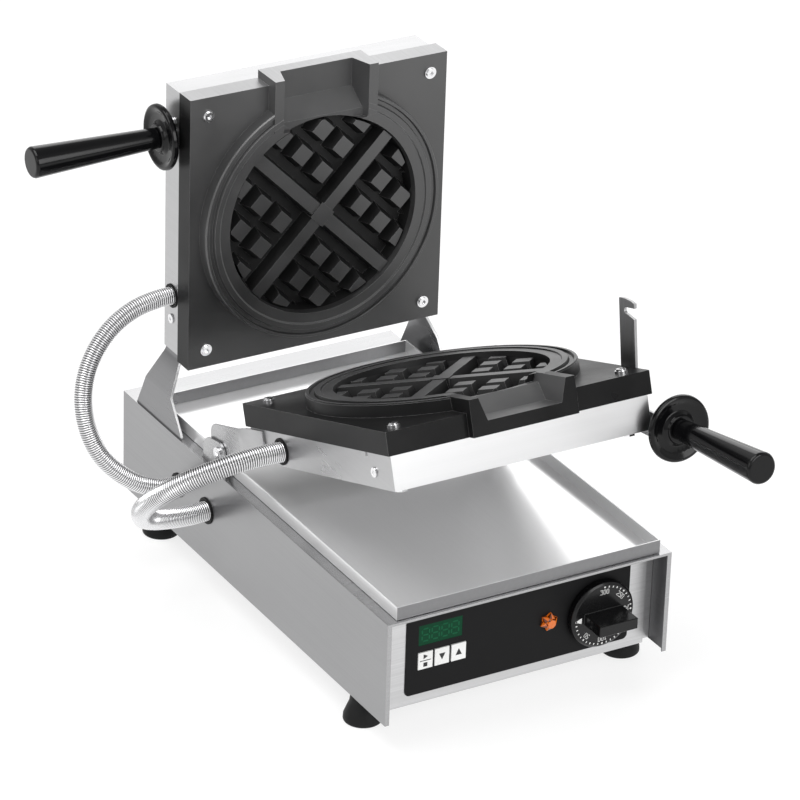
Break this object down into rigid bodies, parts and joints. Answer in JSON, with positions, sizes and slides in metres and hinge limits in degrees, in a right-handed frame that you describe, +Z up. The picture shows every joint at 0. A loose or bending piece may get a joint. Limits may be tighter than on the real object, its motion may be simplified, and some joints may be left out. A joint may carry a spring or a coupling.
{
  "type": "waffle maker",
  "caption": "Countertop round waffle maker: upright iron and hinged front iron with latch, on a base with drip tray, timer and dial.",
  "frame": {"origin": "on the standing plane, under the centre of the base", "axes": "+Z up, +X to the right seen from the front, +Y to the rear; the control panel faces -Y"},
  "size_m": [0.4693, 0.6442, 0.484],
  "materials": {
    "stainless": "brushed sheet",
    "polished_tray": "polished sheet",
    "coated_iron": "non-stick coated casting",
    "bright_screws": "bright plated",
    "conduit_metal": "corrugated flexible metal",
    "lever_steel": "satin",
    "black_plastic": "gloss",
    "label_film": "printed film",
    "display_lens": "tinted window",
    "board_laminate": "circuit board",
    "key_plastic": "satin",
    "amber_lens": "faceted lens",
    "moulded_body": "moulded",
    "bronze_bush": "machined",
    "heater_sheath": "oxidised tube",
    "mineral_wool": "fibre board",
    "copper_bulb": "drawn copper",
    "black_rubber": "moulded"
  },
  "bodies": {
    "base": {"base_shell": "stainless", "front_panel": "stainless", "rear_panel": "stainless", "floor_plate": "stainless", "foot_front_left": "black_rubber", "foot_front_right": "black_rubber", "foot_rear_left": "black_rubber", "foot_rear_right": "black_rubber", "foot_screws": "bright_screws", "control_label": "label_film", "display_window": "display_lens", "timer_board": "board_laminate", "indicator_lamp": "amber_lens", "thermostat_body": "moulded_body", "terminal_block": "moulded_body", "mains_gland": "black_rubber", "base_ear_left": "stainless", "base_ear_right": "stainless", "hinge_bolt_left": "bright_screws", "hinge_bolt_right": "bright_screws", "arm_left": "stainless", "arm_right": "stainless", "rear_casing": "stainless", "rear_plate": "coated_iron", "rear_plate_screws": "bright_screws", "rear_heater": "heater_sheath", "rear_insulation": "mineral_wool", "rear_side_screws": "bright_screws", "sensor_bulb": "copper_bulb", "rear_guard": "black_plastic", "rear_grip": "black_plastic", "rear_stud": "bright_screws", "latch_pin": "bright_screws", "base_grommets": "black_rubber", "iron_grommet_rear": "black_rubber", "rear_conduit": "conduit_metal", "front_conduit": "conduit_metal"},
    "front_iron": {"front_casing": "stainless", "front_plate": "coated_iron", "front_plate_screws": "bright_screws", "front_heater": "heater_sheath", "front_insulation": "mineral_wool", "front_side_screws": "bright_screws", "front_ear_left": "stainless", "front_ear_right": "stainless", "ear_bush_left": "bronze_bush", "ear_bush_right": "bronze_bush", "latch_pivot": "bright_screws", "iron_grommet_front": "black_rubber"},
    "latch": {"latch_lever": "lever_steel", "latch_guard": "black_plastic", "latch_grip": "black_plastic", "latch_stud": "bright_screws"},
    "tray": {"drip_tray": "polished_tray"},
    "dial": {"thermostat_knob": "black_plastic", "thermostat_shaft": "bright_screws"},
    "start_button": {"start_key": "key_plastic"},
    "down_button": {"down_key": "key_plastic"},
    "up_button": {"up_key": "key_plastic"}
  },
  "joints": [
    {"name": "front_iron_hinge", "type": "hinge", "parent": "base", "child": "front_iron", "pos_m": [0, 0.071, 0.1475], "axis": [-1, 0, 0], "range_deg": [0, 71], "deforming": ["front_conduit"]},
    {"name": "latch_lever_hinge", "type": "hinge", "parent": "front_iron", "child": "latch", "pos_m": [0.1425, -0.18969, 0.24276], "axis": [-1, 0, 0], "range_deg": [0, 20]},
    {"name": "thermostat_turn", "type": "hinge", "parent": "base", "child": "dial", "pos_m": [0.086, -0.2375, 0.0745], "axis": [0, 1, 0], "range_deg": [0, 270]},
    {"name": "start_press", "type": "slide", "parent": "base", "child": "start_button", "axis": [0, 1, 0], "range_m": [0, 0.001], "stiffness_N_per_m": 300, "springref_m": -0.001},
    {"name": "down_press", "type": "slide", "parent": "base", "child": "down_button", "axis": [0, 1, 0], "range_m": [0, 0.001], "stiffness_N_per_m": 300, "springref_m": -0.001},
    {"name": "up_press", "type": "slide", "parent": "base", "child": "up_button", "axis": [0, 1, 0], "range_m": [0, 0.001], "stiffness_N_per_m": 300, "springref_m": -0.001},
    {"name": "tray_slide", "type": "slide", "parent": "base", "child": "tray", "axis": [0, -1, 0], "range_m": [0, 0.25]}
  ]
}
